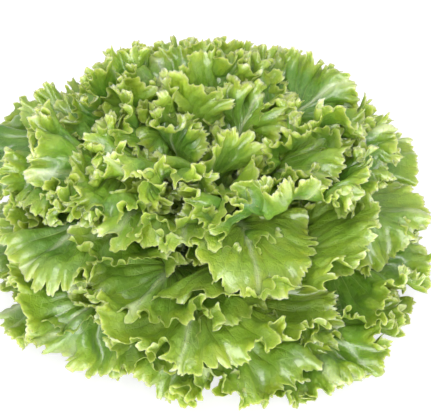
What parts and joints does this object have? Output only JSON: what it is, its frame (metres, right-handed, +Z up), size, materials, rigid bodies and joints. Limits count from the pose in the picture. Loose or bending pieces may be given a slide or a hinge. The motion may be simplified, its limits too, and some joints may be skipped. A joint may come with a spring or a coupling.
{
  "type": "coral lettuce",
  "caption": "Whole cut head of green coral lettuce: a low dome of loose leaves with frilled, toothed margins on a short stem, resting on its cut face.",
  "frame": {"origin": "centre of the stem's flat cut face, on the surface that the head rests on", "axes": "+Z up along the stem, -Y towards the viewer, +X to the viewer's right"},
  "size_m": [0.2821, 0.2594, 0.1201],
  "materials": {
    "stem": "satin",
    "outer_leaf": "satin",
    "middle_leaf": "satin",
    "heart_leaf": "satin"
  },
  "bodies": {
    "root": {"stem": "stem", "outer_leaf_01": "outer_leaf", "outer_leaf_02": "outer_leaf", "outer_leaf_03": "outer_leaf", "outer_leaf_04": "outer_leaf", "outer_leaf_05": "outer_leaf", "outer_leaf_06": "outer_leaf", "outer_leaf_07": "outer_leaf", "outer_leaf_08": "outer_leaf", "outer_leaf_09": "outer_leaf", "outer_leaf_10": "outer_leaf", "outer_leaf_11": "outer_leaf", "outer_leaf_12": "outer_leaf", "outer_leaf_13": "outer_leaf", "outer_leaf_14": "outer_leaf", "outer_leaf_15": "outer_leaf", "outer_leaf_16": "outer_leaf", "outer_leaf_17": "outer_leaf", "outer_leaf_18": "outer_leaf", "outer_leaf_19": "outer_leaf", "outer_leaf_20": "outer_leaf", "outer_leaf_21": "outer_leaf", "outer_leaf_22": "outer_leaf", "middle_leaf_01": "middle_leaf", "middle_leaf_02": "middle_leaf", "middle_leaf_03": "middle_leaf", "middle_leaf_04": "middle_leaf", "middle_leaf_05": "middle_leaf", "middle_leaf_06": "middle_leaf", "middle_leaf_07": "middle_leaf", "middle_leaf_08": "middle_leaf", "middle_leaf_09": "middle_leaf", "middle_leaf_10": "middle_leaf", "middle_leaf_11": "middle_leaf", "middle_leaf_12": "middle_leaf", "middle_leaf_13": "middle_leaf", "middle_leaf_14": "middle_leaf", "middle_leaf_15": "middle_leaf", "middle_leaf_16": "middle_leaf", "middle_leaf_17": "middle_leaf", "middle_leaf_18": "middle_leaf", "middle_leaf_19": "middle_leaf", "middle_leaf_20": "middle_leaf", "heart_leaf_01": "heart_leaf", "heart_leaf_02": "heart_leaf", "heart_leaf_03": "heart_leaf", "heart_leaf_04": "heart_leaf", "heart_leaf_05": "heart_leaf", "heart_leaf_06": "heart_leaf", "heart_leaf_07": "heart_leaf", "heart_leaf_08": "heart_leaf"}
  },
  "joints": []
}
